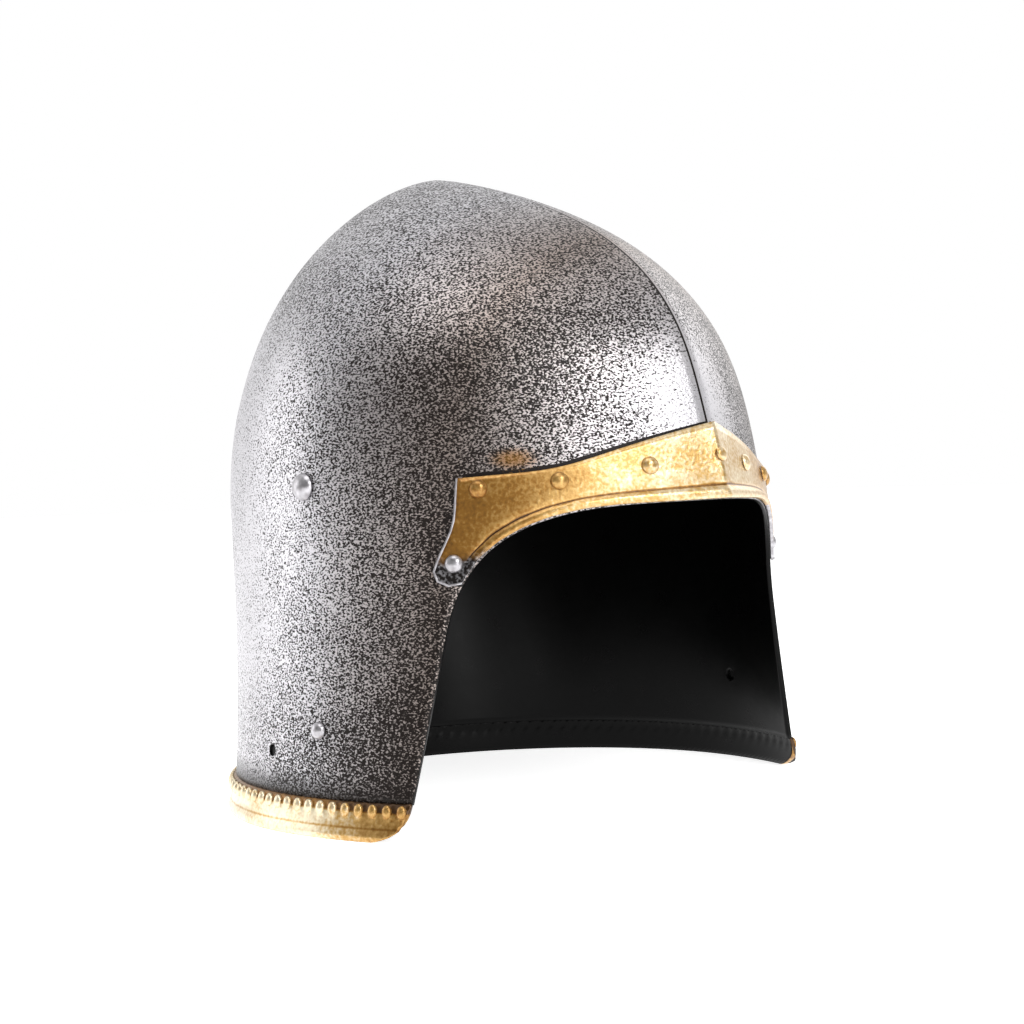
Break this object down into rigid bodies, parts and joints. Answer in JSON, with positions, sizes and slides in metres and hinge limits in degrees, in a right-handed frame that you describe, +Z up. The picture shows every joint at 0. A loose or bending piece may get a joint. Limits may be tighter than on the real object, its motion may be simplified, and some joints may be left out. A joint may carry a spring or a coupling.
{
  "type": "open-faced knight's helmet",
  "caption": "Open-faced, keeled knight's helmet in thin moulded plastic, silver with a gold riveted brow band and a beaded gold lower border.",
  "frame": {"origin": "centre of the helmet's box, on the surface that its rim stands on", "axes": "+Z up, the face opening looks along -Y, the wearer's left is +X"},
  "size_m": [0.2488, 0.2472, 0.26],
  "materials": {
    "hammered_silver": "silver paint rubbed over dark plastic, hammered",
    "antique_gold": "satin gold paint over dark plastic"
  },
  "bodies": {
    "root": {"skull_shell": "hammered_silver", "brow_band": "antique_gold", "lower_border": "antique_gold", "brow_rivet_centre": "antique_gold", "brow_rivet_inner_left": "antique_gold", "brow_rivet_inner_right": "antique_gold", "brow_rivet_middle_left": "antique_gold", "brow_rivet_middle_right": "antique_gold", "brow_rivet_outer_left": "antique_gold", "brow_rivet_outer_right": "antique_gold", "brow_rivet_end_left": "antique_gold", "brow_rivet_end_right": "antique_gold", "side_rivet_left": "hammered_silver", "side_rivet_right": "hammered_silver", "cheek_rivet_left": "hammered_silver", "cheek_rivet_right": "hammered_silver"}
  },
  "joints": []
}
